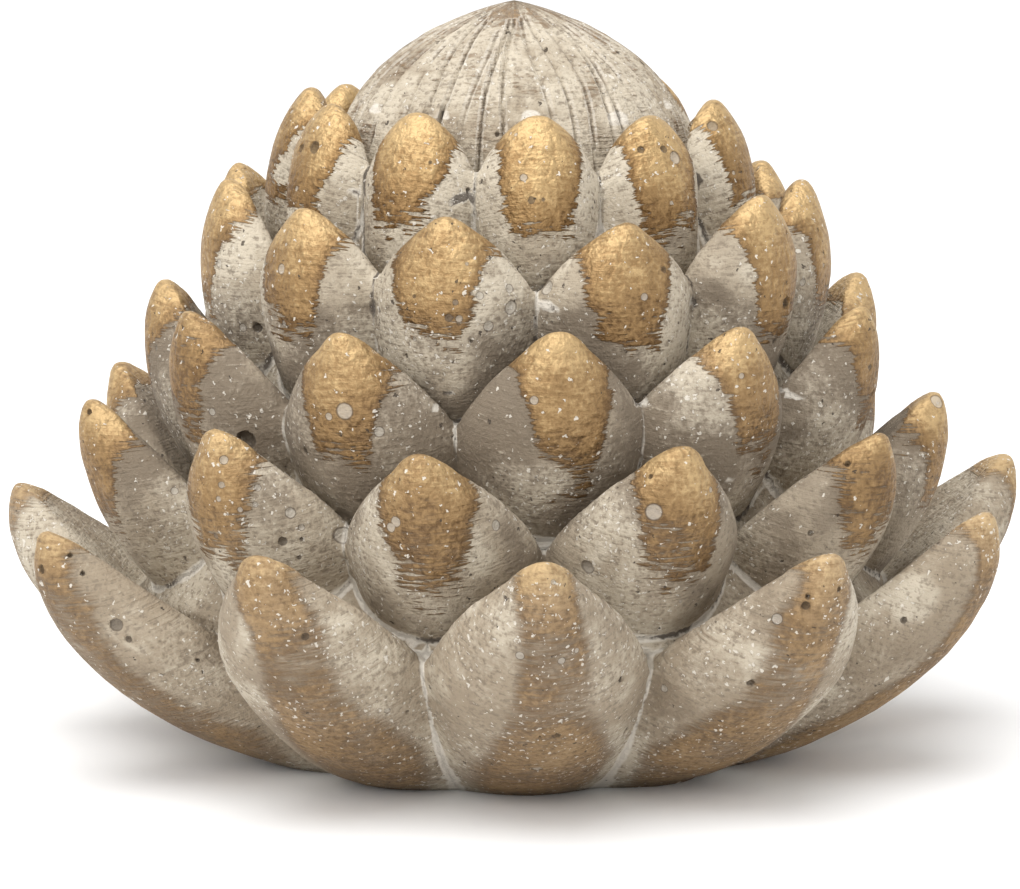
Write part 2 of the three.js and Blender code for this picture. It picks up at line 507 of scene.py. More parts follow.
def leafGap(points, ringIndex, leafIndex):  # how far points stand off a leaf, and where on it
    ring = leafRings[ringIndex]
    heading = leafHeading(ringIndex, leafIndex)
    out = points[:, 0] * math.cos(heading) + points[:, 1] * math.sin(heading)
    across = points[:, 1] * math.cos(heading) - points[:, 0] * math.sin(heading)
    fromTip, inset, depth = leafFoot(ringIndex, leafIndex, out, points[:, 2])
    width = np.maximum(leafWidth(ring, fromTip), 0.5)
    depth = np.maximum(depth - 2 * tipInset(fromTip), 0.5)
    inset = inset - tipInset(fromTip)
    a = across / width
    b = 1 - inset / depth
    belly = (a * a + b * b - 1) / (2 * np.sqrt((a / width) ** 2 + (b / depth) ** 2) + 1e-6)
    inner = inset - depth * (1 - leafShape["backDish"] * np.clip(1 - a * a, 0, 1))
    return np.maximum(belly, inner), belly, inner, across, fromTip


# where the gold lies on the leaves of a ring: share and half width at (mm from the tip);
# a wash of 1 is thin and soft, 0 is thick with toothed edges
goldRings = [
    {"share": [(0, 0.95), (10, 0.85), (22, 0.62), (34, 0.66), (48, 0.82), (70, 0.8), (90, 0.5)],
     "halfWidth": [(0, 5), (12, 6), (28, 7), (45, 10), (60, 13), (90, 12)], "wash": 1.0},
    {"share": [(0, 0.95), (10, 0.9), (20, 0.68), (30, 0.4), (40, 0.16)],
     "halfWidth": [(0, 6), (10, 8.5), (22, 8), (40, 5.5)], "wash": 0.3},
    {"share": [(0, 0.95), (12, 0.9), (20, 0.68), (29, 0.45), (38, 0.18), (50, 0.08)],
     "halfWidth": [(0, 6), (8, 9), (18, 7.5), (34, 4.5)], "wash": 0.25},
    {"share": [(0, 0.97), (12, 0.94), (20, 0.72), (27, 0.4), (34, 0.1)],
     "halfWidth": [(0, 6), (7, 9), (18, 8), (34, 6.5)], "wash": 0.1},
    {"share": [(0, 0.97), (14, 0.94), (20, 0.68), (26, 0.36), (33, 0.1)],
     "halfWidth": [(0, 6.5), (6, 7.5), (33, 7.5)], "wash": 0.0},
]

# leaves whose gold differs: (ring, leaf): (share added, mm that it lies to one side)
goldMoods = {
    (0, 0): (0.02, 2), (0, 1): (0.0, -4), (0, 10): (0.02, 5), (0, 9): (-0.1, 4),
    (0, 2): (0.12, 0), (0, 3): (0.1, 0), (0, 8): (-0.25, 0),
    (1, 0): (0.02, 0), (1, 10): (0.03, 1), (1, 9): (-0.08, 0), (1, 1): (-0.1, -2),
    (2, 0): (0.1, 2), (2, 10): (0.05, 1), (2, 1): (0.0, 4), (2, 9): (-0.12, 0),
    (3, 10): (0.0, -2), (3, 0): (0.0, -1), (3, 1): (0.05, 1), (3, 9): (0.05, 0),
    (4, 0): (0.05, 0), (4, 1): (0.05, 0), (4, 10): (0.05, 0),
}


goldShape = {
    "mood": 0.08,  # how much more or less gold a leaf may have
    "aside": 3,  # mm that it may lie to one side
    "asideStart": (4, 18),  # mm from the tip over which it moves aside
    "sideFade": (0.72, 1.3),  # where it fades, in halves of its width
    "sideLoss": 0.85,
    "lipFade": (9, 2),  # mm from the tip where it ends on the inner face
    "lipShare": 0.85,
    "valleyFade": (0.6, 4.5),  # mm from the next leaf where it begins
    "onDome": 0.2,
    "onRibs": 0.3,
    "atTop": 0.2,
    "seed": 11,
}

# how the points are sorted, in mm
markShape = {
    "leafTurn": 38,  # degrees that a leaf can reach to each side
    "leafStart": 20,  # reach where the leaves begin
    "belowRoot": 10,
    "coreHidden": (12, 6),  # height below which the leaves hide the core
    "innerEdge": (-0.8, 0.2),
    "rimWidth": (1.3, 0.2),
    "rimStart": (4, 10),
    "seamWidth": (0.5, 2.0),
    "domeAbove": 108,
    "domeWithin": 37,
    "domeRows": 40,
    "noGroove": 9.0,
}

# slow changes of tone, with sizes in mm, and how pale the cement is by height
toneShape = {
    "clouds": 17,
    "patches": 12,
    "crowds": 22,
    "heights": (0, 20, 35, 52, 68, 90, 98, 112),
    "pale": (0, 0.1, 0.3, 0.2, -0.8, -0.65, 0.4, 0.75),
}


def smoothStep(low, high, value):
    share = np.clip((value - low) / (high - low), 0, 1)
    return share * share * (3 - 2 * share)


def vertexPlaces(piece):  # in mm
    flat = np.empty(len(piece.data.vertices) * 3)
    piece.data.vertices.foreach_get("co", flat)
    return flat.reshape(-1, 3) / mm


def addMark(piece, name, values):  # a number, or three, on each point for the finish
    kind, field = ("FLOAT", "value") if values.ndim == 1 else ("FLOAT_VECTOR", "vector")
    mark = piece.data.attributes.new(name, kind, "POINT")
    mark.data.foreach_set(field, values.ravel())


class NearestForm:  # the form that each point lies on, and its gap to the next one
    def __init__(self, points):
        count = len(points)
        self.points = points
        self.height = points[:, 2]
        self.azimuth = np.arctan2(points[:, 1], points[:, 0])
        self.reach = np.hypot(points[:, 0], points[:, 1])
        self.gap = np.full(count, 1e3)
        self.nextGap = np.full(count, 1e3)
        self.place = np.zeros((count, 3))
        self.gold = np.zeros(count)
        self.rim = np.zeros(count)
        self.wash = np.zeros(count)

    def offer(self, rows, gap, place, gold, rim, wash):
        own = gap < self.gap[rows]
        mine, others = rows[own], rows[~own]
        self.nextGap[mine] = self.gap[mine]
        self.nextGap[others] = np.minimum(self.nextGap[others], gap[~own])
        self.gap[mine] = gap[own]
        self.place[mine] = place[own]
        self.gold[mine] = gold[own]
        self.rim[mine] = rim[own]
        self.wash[mine] = wash

    def offerTurned(self, gap, girth, chance, gold, wash):
        count = len(self.points)
        place = np.column_stack((self.azimuth * girth, self.height, np.full(count, chance)))
        self.offer(np.arange(count), gap, place, gold, np.zeros(count), wash)


def offerCore(form):
    gap = profileGap(form.reach, form.height, castingShape["core"][1:-1])
    gap += 20 * smoothStep(*markShape["coreHidden"], form.height)
    form.offerTurned(gap, 60, 0.5, np.zeros(len(gap)), 0.6)


def offerDome(form):
    gap = profileGap(form.reach, form.height, domeProfile(markShape["domeRows"])[1:])
    ribs = np.floor((form.azimuth / (2 * math.pi) + 0.5) * grooveShape["count"])
    ribGold = 0.5 + 0.5 * np.sin(ribs * 12.9898) * np.cos(ribs * 4.1)
    gold = goldShape["onDome"] + goldShape["onRibs"] * ribGold
    gold += smoothStep(16, 4, form.reach) * goldShape["atTop"]
    form.offerTurned(gap, castingShape["domeReach"], 0.9, gold, 0.8)


def leafGold(gold, more, aside, across, fromTip, inside):
    amount = np.interp(fromTip, *zip(*gold["share"])) + more
    halfWidth = np.interp(fromTip, *zip(*gold["halfWidth"]))
    aside = aside * smoothStep(*goldShape["asideStart"], fromTip)
    sideways = np.abs(across - aside) / halfWidth
    amount *= 1 - goldShape["sideLoss"] * smoothStep(*goldShape["sideFade"], sideways)
    lip = smoothStep(*goldShape["lipFade"], fromTip) * goldShape["lipShare"]
    return amount * (1 - inside) + lip * inside


def offerLeaf(form, ringIndex, leafIndex, dice):
    mood, aside = goldShape["mood"], goldShape["aside"]
    drawn = dice.uniform(-mood, mood), dice.uniform(-aside, aside)
    chance = dice.random()
    more, aside = goldMoods.get((ringIndex, leafIndex), drawn)
    turned = form.azimuth - leafHeading(ringIndex, leafIndex) + math.pi
    turned = np.abs(turned % (2 * math.pi) - math.pi)
    near = turned < math.radians(markShape["leafTurn"])
    near &= form.reach > markShape["leafStart"]
    near &= form.height > leafRings[ringIndex]["root"][1] - markShape["belowRoot"]
    rows = np.nonzero(near)[0]
    gap, belly, inner, across, fromTip = leafGap(form.points[rows], ringIndex, leafIndex)
    inside = smoothStep(*markShape["innerEdge"], inner - belly)
    gold = leafGold(goldRings[ringIndex], more, aside, across, fromTip, inside)
    # rim marks a narrow band along each leaf's rims, where the painted rim highlight goes
    rim = smoothStep(*markShape["rimWidth"], np.maximum(-belly, -inner))
    rim *= smoothStep(*markShape["rimStart"], fromTip)
    place = np.column_stack((across, fromTip, np.full(len(rows), chance)))
    form.offer(rows, gap, place, gold, rim, goldRings[ringIndex]["wash"])


def markPlaces(piece):  # place on the leaf, gold, seams, rims and grooves
    form = NearestForm(vertexPlaces(piece))
    offerCore(form)
    offerDome(form)
    dice = random.Random(goldShape["seed"])
    for ringIndex in range(len(leafRings)):
        for leafIndex in range(leafShape["count"]):
            offerLeaf(form, ringIndex, leafIndex, dice)
    away = np.maximum(form.nextGap, 0)
    gold = np.clip(form.gold * smoothStep(*goldShape["valleyFade"], away), 0, 1)
    seam = 1 - smoothStep(*markShape["seamWidth"], away)
    onDome = (form.height > markShape["domeAbove"]) & (form.reach < markShape["domeWithin"])
    groove = np.full(len(away), markShape["noGroove"])
    groove[onDome] = grooveGap(form.azimuth[onDome], form.reach[onDome])
    addMark(piece, "leafPlace", form.place)
    addMark(piece, "paint", np.column_stack((gold, seam, form.rim)))
    addMark(piece, "wash", form.wash)
    addMark(piece, "groove", groove)


def markTones(piece):
    tones = []
    for vert in piece.data.vertices:
        place = vert.co / mm
        clouds = noise.fractal(place / toneShape["clouds"], 0.6, 2.1, 4)
        clouds += np.interp(place.z, toneShape["heights"], toneShape["pale"])
        patches = noise.fractal(place / toneShape["patches"] + Vector((9, 3, 5)), 0.7, 2.1, 3)
        crowds = noise.noise(place / toneShape["crowds"] - Vector((4, 8, 2)))
        tones.append((clouds, patches, crowds))
    addMark(piece, "tones", 0.5 + 0.5 * np.array(tones))


# bubbles broken open at the surface: (ring, leaf, mm across, mm from the tip, radius, depth)
bubbleSpots = [
    (0, 0, -19.5, 41, 0.5, 0.6), (0, 0, -4.5, 19, 0.9, 0.2), (0, 0, 0.5, 58, 1.1, 0.7),
    (0, 0, 1, 44, 0.35, 0.7), (0, 0, 1.5, 4, 0.55, 0.4), (0, 0, 3, 20.5, 0.8, 0.2),
    (0, 0, 6, 18, 0.6, 0.2), (0, 0, 14.5, 31, 0.6, 1.2), (0, 0, 18, 54.5, 0.7, 0.9),
    (0, 1, -19.5, 41, 0.9, 0.3), (0, 1, -11, 29.5, 0.8, 1.2), (0, 1, -10, 14.5, 1.1, 0.5),
    (0, 1, -5.5, 11.5, 0.8, 1.3), (0, 1, -5, 9.5, 0.5, 1), (0, 1, 0.5, 7.5, 0.5, 1),
    (0, 2, -16.5, 26.5, 0.7, 1.1), (0, 9, 1, 9.5, 0.9, 1.4), (0, 9, 5.5, 5.5, 0.5, 1),
    (0, 9, 9, 10.5, 0.5, 1), (0, 9, 13, 22.5, 1.3, 1.1), (0, 9, 13.5, 25.5, 0.7, 1),
    (0, 9, 20, 37.5, 0.4, 0.8), (0, 10, 16.5, 40, 0.75, 0.5), (0, 10, 17.5, 44.5, 0.4, 0.8),
    (1, 0, -15, 28, 1.4, 1.1), (1, 0, -6, 6.5, 0.5, 0.9), (1, 0, -5.5, 14, 1.7, 0.4),
    (1, 0, 5.5, 9.5, 0.6, 0.3), (1, 1, -13, 22.5, 0.6, 0.6), (1, 1, -7, 7, 0.6, 1.1),
    (1, 2, -2.5, 2.5, 1.5, 0.5), (1, 8, 3, 3, 0.6, 1.2), (1, 8, 16, 20.5, 0.8, 0.3),
    (1, 9, 2.5, 14, 0.6, 0.4), (1, 9, 3.5, 10.5, 0.7, 0.5), (1, 9, 4, 6, 0.9, 0.5),
    (1, 9, 6.5, 15.5, 0.6, 0.4), (1, 9, 9, 15.5, 0.6, 0.4), (1, 9, 9.5, 11.5, 0.7, 0.5),
    (1, 9, 12.5, 23.5, 0.9, 1.1), (1, 9, 13.5, 18, 1.1, 0.4), (1, 9, 13.5, 29, 0.5, 0.6),
    (1, 9, 15, 21.5, 0.7, 0.4), (1, 9, 15, 25, 0.4, 0.8), (1, 9, 18, 27, 1.6, 0.7),
    (1, 10, -5.5, 15.5, 1, 0.3), (1, 10, -4.5, 15, 1.1, 0.3), (1, 10, 8, 27.5, 0.35, 0.7),
    (1, 10, 13, 18, 1.1, 0.3), (2, 0, -5.5, 13, 0.9, 0.3), (2, 1, 8.5, 17, 0.7, 0.3),
    (2, 9, 8, 21.5, 0.8, 0.4), (2, 9, 13.5, 27, 1.95, 2.6), (2, 10, -8.5, 26, 0.8, 1.4),
    (2, 10, -1.5, 18, 0.8, 0.3), (2, 10, 2, 16, 1.7, 0.4), (2, 10, 8.5, 21, 1.05, 0.3),
    (3, 0, -14, 14.5, 1.5, 0.5), (3, 0, 2, 17.5, 0.8, 0.3), (3, 1, 1, 30.5, 0.6, 1.2),
    (3, 1, 2.5, 23, 1.1, 1.8), (3, 2, -11.5, 21, 0.8, 0.3), (3, 8, 11, 31, 0.9, 0.3),
    (3, 8, 13, 31, 1, 1.8), (3, 10, -7, 28.5, 0.5, 0.9), (3, 10, -5, 25, 0.5, 0.3),
    (3, 10, 1.5, 20.5, 0.8, 0.7), (3, 10, 3.5, 18.5, 0.6, 0.5), (3, 10, 3.5, 22, 0.75, 0.5),
    (3, 10, 5, 11, 0.4, 0.3), (3, 10, 5.5, 27.5, 0.35, 0.7), (3, 10, 7, 11.5, 0.4, 0.3),
    (3, 10, 7.5, 16, 0.8, 0.5), (3, 10, 9.5, 22, 1.05, 0.5), (3, 10, 12, 15, 0.9, 0.4),
    (3, 10, 13, 19, 1.4, 0.5), (3, 10, 13, 23.5, 0.35, 0.7), (4, 10, 8.5, 19, 0.7, 0.3),
    (4, 10, 11, 17, 0.5, 1.1),
]

# and on the dome: (degrees from the front, mm from the axis, radius, depth)
domeSpots = [(-2, 14, 0.5, 0.8), (18, 19, 0.5, 0.7), (-6, 33.5, 0.5, 0.8)]

# the seeded bubbles: sizes in mm, places and depths as shares of the leaf and of the radius
bubbleShape = {
    "perLeaf": 4,
    "radii": (0.4, 1.4),
    "across": 0.6,
    "along": (0.35, 1.4),
    "depths": (0.5, 1.1),
    "onDome": 14,
    "domeTurns": (60, 300),
    "domeReaches": (6, 33),
    "domeRadii": (0.35, 0.7),
    "domeDepth": 0.7,
    "openDepth": (0.65, 0.95),  # from here a bubble gets painted shade inside
    "offSkin": 2.5,  # a bubble further than this from the surface is left out
    "seed": 5,
}


def bellySpot(ringIndex, leafIndex, across, fromTip):  # a place on the outer side of a leaf
    ring = leafRings[ringIndex]
    points = bellyPoints(ring)
    length = sum((b - a).length for a, b in zip(points, points[1:]))
    belly, rim = leafStations(ringIndex, leafIndex, [fromTip / length])[0][1:]
    front = tipInset(fromTip)
    depth = (rim - belly).length - 2 * front
    share = min(abs(across) / leafWidth(ring, fromTip), 1)
    place = belly + (rim - belly).normalized() * (front + depth * (1 - math.sqrt(1 - share ** 2)))
    heading = Matrix.Rotation(leafHeading(ringIndex, leafIndex), 3, "Z")
    return heading @ Vector((place.x, across, place.z))


def bubblePlaces():  # the seen bubbles and seeded ones: (place in mm, radius, depth)
    shape = bubbleShape
    small, large = shape["radii"]
    dice = random.Random(shape["seed"])
    places = [(bellySpot(*spot[:4]), *spot[4:]) for spot in bubbleSpots]
    seen = {spot[:2] for spot in bubbleSpots}
    for ringIndex in range(len(leafRings)):
        width = leafRings[ringIndex]["halfWidth"]
        length = leafRings[ringIndex]["widthLength"]
        for leafIndex in range(leafShape["count"]):
            for _ in range(1 if (ringIndex, leafIndex) in seen else shape["perLeaf"]):
                across = dice.uniform(-shape["across"], shape["across"]) * width
                fromTip = dice.uniform(*shape["along"]) * length
                radius = small + (large - small) * dice.random() ** 3
                spot = bellySpot(ringIndex, leafIndex, across, fromTip)
                places.append((spot, radius, dice.uniform(*shape["depths"]) * radius))
    others = [(dice.uniform(*shape["domeTurns"]), dice.uniform(*shape["domeReaches"]),
               dice.uniform(*shape["domeRadii"]), shape["domeDepth"])
              for _ in range(shape["onDome"])]
    for degrees, reach, radius, depth in domeSpots + others:
        azimuth = math.radians(degrees - 90)
        spot = Vector((reach * math.cos(azimuth), reach * math.sin(azimuth), domeHeight(reach)))
        places.append((spot, radius, depth))
    return places


def skinTree(mesh):  # finds the points of a mesh by their place
    tree = kdtree.KDTree(len(mesh.verts))
    for index, vert in enumerate(mesh.verts):
        tree.insert(vert.co, index)
    tree.balance()
    mesh.verts.ensure_lookup_table()
    return tree


def refineSkin(mesh, tree, spots):  # smaller faces where the bubbles go
    edges = {}  # a set would change their order from run to run
    for middle, _, radius, _ in spots:
        for _, index, _ in tree.find_range(middle, (radius * 1.25 + 0.7) * mm):
            for edge in mesh.verts[index].link_edges:
                if edge.calc_length() > 0.3 * radius * mm:
                    edges[edge] = True
    bmesh.ops.subdivide_edges(mesh, edges=list(edges), cuts=1)
    bmesh.ops.triangulate(mesh, faces=[face for face in mesh.faces if len(face.verts) > 3])


def pressBubbles(piece):
    mesh = bmesh.new()
    mesh.from_mesh(piece.data)
    mesh.normal_update()
    tree = skinTree(mesh)
    spots = []
    for place, radius, depth in bubblePlaces():
        middle, index, gap = tree.find(place * mm)
        if gap < bubbleShape["offSkin"] * mm:
            spots.append((middle.copy(), mesh.verts[index].normal.copy(), radius, depth))
    for _ in range(2):
        refineSkin(mesh, tree, spots)
        tree = skinTree(mesh)
    hole = np.full((len(mesh.verts), 3), 3.0)  # radii from a bubble's middle, and how open it is, which sets the painted shade inside
    for middle, normal, radius, depth in spots:
        opened = smoothStep(*bubbleShape["openDepth"], depth / radius)
        for co, index, _ in tree.find_range(middle, 3 * radius * mm):
            away = co - middle
            apart = (away - normal * away.dot(normal)).length / (radius * mm)
            if apart < hole[index, 0]:
                hole[index, :2] = apart, opened
            if apart < 1:
                mesh.verts[index].co -= normal * depth * (1 - apart ** 2) ** 0.6 * mm
    mesh.to_mesh(piece.data)
    mesh.free()
    addMark(piece, "hole", hole)
    piece.data.validate()
    return len(spots)


# finishes, as linear colours
finish = {
    "cement": (0.365, 0.305, 0.225, 1),
    "cementDark": (0.175, 0.138, 0.098, 1),
    "cementPale": (0.52, 0.455, 0.355, 1),
    "cementBrown": (0.265, 0.205, 0.138, 1),
    # the lime colour also carries the painted highlights on the rims and the groove ridges
    "limeAndHighlight": (0.70, 0.65, 0.57, 1),
    # a dark brown used only for painted shade: in seams, pinholes, grooves and bubbles
    "paintedShade": (0.05, 0.035, 0.024, 1),
    "bubble": (0.46, 0.42, 0.36, 1),
    "gold": (0.29, 0.178, 0.075, 1),
    # goldBright also carries the painted highlight near the leaf tips
    "goldBright": (0.52, 0.36, 0.175, 1),
    "goldDeep": (0.14, 0.075, 0.027, 1),
    "goldMetal": 0.75,
    "goldRough": 0.36,
    "cementRough": 0.88,
    "relief": 0.9,
}

# how fine the grain of the finish is, in changes per metre
grainShape = {
    "strokes": (0.22, 1.5, 37.0),  # per mm across a leaf and along it, and from leaf to leaf
    "coarse": 130.0,
    "fine": 850.0,
    "hammered": 380.0,
    "smallFlecks": 950.0,
    "largeFlecks": 300.0,
    "fleckWarp": 0.0022,
}


class Nodes:  # short calls for building a finish
    def __init__(self, name):
        self.material = bpy.data.materials.new(name)
        self.material.use_nodes = True
        self.tree = self.material.node_tree
        self.tree.nodes.clear()

    def add(self, kind, settings=None, **inputs):
        node = self.tree.nodes.new(kind)
        for name, value in (settings or {}).items():
            setattr(node, name, value)
        for name, value in inputs.items():
            self.set(node, name.replace("_", " "), value)
        return node

    def set(self, node, name, value):
        if isinstance(value, bpy.types.NodeSocket):
            self.tree.links.new(value, node.inputs[name])
        else:
            node.inputs[name].default_value = value

    def fill(self, node, values):  # a node's inputs, by their number
        for index, value in values.items():
            self.set(node, index, value)
        return node.outputs

    def mark(self, name, output="Vector"):
        return self.add("ShaderNodeAttribute", {"attribute_name": name}).outputs[output]

    def parts(self, vector):
        return self.add("ShaderNodeSeparateXYZ", Vector=vector).outputs

    def math(self, operation, *values):
        node = self.add("ShaderNodeMath", {"operation": operation})
        return self.fill(node, dict(enumerate(values)))[0]

    def vector(self, operation, *values):
        node = self.add("ShaderNodeVectorMath", {"operation": operation})
        return self.fill(node, dict(enumerate(values)))[0]

    def total(self, first, *others):  # others are (value, weight)
        for value, weight in others:
            first = self.math("MULTIPLY_ADD", value, weight, first)
        return first

    def times(self, first, *others):
        for value in others:
            first = self.math("MULTIPLY", first, value)
        return first

    def most(self, first, *others):
        for value in others:
            first = self.math("MAXIMUM", first, value)
        return first

    def step(self, value, low, high):  # smooth step from 0 to 1 between low and high
        node = self.add("ShaderNodeMapRange", {"interpolation_type": "SMOOTHSTEP"})
        return self.fill(node, {0: value, 1: low, 2: high})[0]

    def mix(self, share, a, b):
        node = self.add("ShaderNodeMix", {"data_type": "RGBA"})
        return self.fill(node, {0: share, 6: a, 7: b})[2]

    def blend(self, share, a, b):  # one number to another
        node = self.add("ShaderNodeMix", {"data_type": "FLOAT"})
        return self.fill(node, {0: share, 2: a, 3: b})[0]

    def coat(self, below, colour, share, strength=1.0):  # a colour of the finish over another
        if strength < 1:
            share = self.times(share, strength)
        return self.mix(share, below, finish[colour])

    def noise(self, place, scale, detail=3.0, rough=0.55, distortion=0.0):
        return self.add("ShaderNodeTexNoise", Vector=place, Scale=scale, Detail=detail,
                        Roughness=rough, Distortion=distortion).outputs

    def dots(self, place, scale, size, share):  # round dots of mixed size in a share of the cells
        cells = self.add("ShaderNodeTexVoronoi", {"feature": "F1"}, Vector=place, Scale=scale,
                         Randomness=0.95).outputs
        kind, girth, _ = self.add("ShaderNodeSeparateColor", Color=cells["Color"]).outputs
        radius = self.math("MULTIPLY_ADD", girth, size * 0.65, size * 0.35)
        spot = self.step(cells["Distance"], radius, self.times(radius, 0.75))
        return self.times(spot, self.math("LESS_THAN", kind, share)), kind, spot

    def shade(self, **inputs):
        shader = self.add("ShaderNodeBsdfPrincipled", **inputs)
        self.add("ShaderNodeOutputMaterial", Surface=shader.outputs[0])
        return self.material


def readMarks(nodes):  # what was marked on the points
    marks = SimpleNamespace()
    marks.place = nodes.add("ShaderNodeTexCoord").outputs["Object"]
    marks.leaf = nodes.mark("leafPlace")
    marks.gold, marks.seam, marks.rim = nodes.parts(nodes.mark("paint"))
    marks.clouds, marks.patches, marks.crowds = nodes.parts(nodes.mark("tones"))
    marks.hole, marks.opened, _ = nodes.parts(nodes.mark("hole"))
    marks.wash = nodes.mark("wash", "Fac")
    marks.groove = nodes.mark("groove", "Fac")
    return marks


def makeGrain(nodes, marks):
    grain = SimpleNamespace()
    stretched = nodes.vector("MULTIPLY", marks.leaf, grainShape["strokes"])
    grain.strokes = nodes.noise(stretched, 1.0, 2.0, 0.6)["Fac"]
    grain.coarse = nodes.noise(marks.place, grainShape["coarse"], 1.0, 0.6)["Fac"]
    fine = nodes.noise(marks.place, grainShape["fine"], 2.0, 0.65)
    grain.fine = fine["Fac"]
    warp = (grainShape["fleckWarp"],) * 3
    grain.warped = nodes.vector("MULTIPLY_ADD", fine["Color"], warp, marks.place)
    grain.hammered = nodes.noise(marks.place, grainShape["hammered"], 1.0, 0.5, 0.6)["Fac"]
    return grain


def goldCover(nodes, marks, grain):  # toothed brush strokes, and a thin wash on the lower leaves
    wanted = nodes.total(marks.gold, (grain.strokes, 1.0), (marks.patches, 0.45),
                         (grain.coarse, 0.4), (grain.fine, 0.3))
    crisp = nodes.step(wanted, 1.52, 1.62)
    soft = nodes.times(nodes.step(wanted, 1.27, 1.9), 0.82)
    return nodes.blend(marks.wash, crisp, soft)


def fleckCover(nodes, marks, grain, gold):  # white dots in crowds, fewer on gold, and pinholes
    clean = nodes.times(gold, nodes.math("MULTIPLY_ADD", marks.wash, -0.6, 0.85))
    crowd = nodes.times(nodes.step(marks.crowds, 0.3, 0.75), nodes.math("SUBTRACT", 1.0, clean))
    share = nodes.math("MULTIPLY_ADD", crowd, 0.7, 0.08)
    white, kind, spot = nodes.dots(grain.warped, grainShape["smallFlecks"], 0.4, share)
    pinhole = nodes.times(spot, nodes.math("GREATER_THAN", kind, 0.975))
    larger, kind, spot = nodes.dots(grain.warped, grainShape["largeFlecks"], 0.2,
                                    nodes.times(share, 0.3))
    pinhole = nodes.most(pinhole, nodes.times(spot, nodes.math("GREATER_THAN", kind, 0.97)))
    return nodes.most(white, larger), pinhole


def cementColour(nodes, marks, grain):
    clouds = nodes.step(marks.clouds, 0.15, 0.65)
    cement = nodes.mix(clouds, finish["cementDark"], finish["cement"])
    cement = nodes.coat(cement, "cementBrown", marks.wash, 0.6)
    cement = nodes.coat(cement, "cementPale", nodes.step(marks.clouds, 0.66, 1.0))
    dusty = nodes.total(marks.crowds, (grain.coarse, 0.6), (grain.fine, 0.5))
    cement = nodes.coat(cement, "cementPale", nodes.step(dusty, 0.95, 1.45))
    streaks = nodes.total(grain.fine, (grain.strokes, 0.7))
    cement = nodes.coat(cement, "cementDark", nodes.step(streaks, 0.85, 0.62), 0.65)
    cement = nodes.coat(cement, "cementPale", nodes.step(streaks, 0.98, 1.2), 0.5)
    # lime in the seams, a painted highlight on the rims, and painted shade darkening the seams of
    # the upper leaves
    inSeams = nodes.total(marks.seam, (grain.coarse, 0.8), (marks.patches, 0.5),
                          (marks.wash, 0.2))
    # painted highlight: a pale line along the leaf rims in the lime colour, beside the real lime
    # in the seams
    paintedRimHighlight = nodes.total(marks.rim, (grain.coarse, 0.9))
    limeAndHighlight = nodes.most(nodes.times(nodes.step(inSeams, 1.4, 1.7), 0.85),
                      nodes.times(nodes.step(paintedRimHighlight, 1.05, 1.5), 0.5))
    cement = nodes.coat(cement, "limeAndHighlight", limeAndHighlight)
    # painted shade in the seams, strongest close to the next leaf and weaker under the wash
    paintedSeamShade = nodes.total(marks.seam, (marks.patches, -0.6), (grain.fine, 0.5), (marks.wash, -0.5))
    return nodes.coat(cement, "paintedShade", nodes.step(paintedSeamShade, 0.66, 0.88), 0.85)


def goldColour(nodes, marks, grain):
    # painted highlight: the gold is brighter within about 12 mm of each leaf tip
    paintedTipHighlight = nodes.step(nodes.parts(marks.leaf)[1], 12.0, 1.0)
    tone = nodes.total(nodes.times(marks.patches, 0.55), (grain.strokes, 0.5), (grain.fine, 0.9),
                       (marks.gold, 0.9), (paintedTipHighlight, 0.3), (marks.wash, -0.12))
    gold = nodes.mix(nodes.step(tone, 1.35, 1.75), finish["goldDeep"], finish["gold"])
    return nodes.coat(gold, "goldBright", nodes.step(tone, 1.7, 2.2))


def colourGrooves(nodes, marks, grain, colour):  # painted shade as a thin dark line in the groove, with a painted highlight on the paler ridge beside it
    off = nodes.total(nodes.math("ADD", marks.groove, -0.3), (grain.fine, 0.6))
    line = nodes.step(off, 0.4, 0.15)
    ridge = nodes.step(nodes.math("ABSOLUTE", nodes.math("SUBTRACT", off, 0.6)), 0.35, 0.1)
    faint = nodes.step(nodes.math("ADD", grain.coarse, marks.patches), 0.7, 1.25)
    # painted highlight on the paler ridge beside the groove
    colour = nodes.coat(colour, "limeAndHighlight", nodes.times(ridge, nodes.times(faint, 0.4)))
    # painted shade in the groove as a thin dark line
    dark = nodes.times(line, nodes.math("MULTIPLY_ADD", faint, 0.3, 0.15))
    return nodes.coat(colour, "paintedShade", dark)


def colourBubbles(nodes, marks, colour):  # dusty inside, with painted shade round the edge and inside the open ones
    inside = nodes.step(marks.hole, 0.98, 0.85)
    edge = nodes.times(nodes.step(marks.hole, 1.1, 1.0), nodes.step(marks.hole, 0.78, 0.92))
    # painted shade inside the open bubbles, dust inside the rest
    hollow = nodes.mix(marks.opened, finish["bubble"], finish["paintedShade"])
    colour = nodes.mix(nodes.times(inside, 0.6), colour, hollow)
    # painted shade round the edge of each bubble
    return nodes.coat(colour, "paintedShade", edge, 0.55), nodes.most(inside, edge)


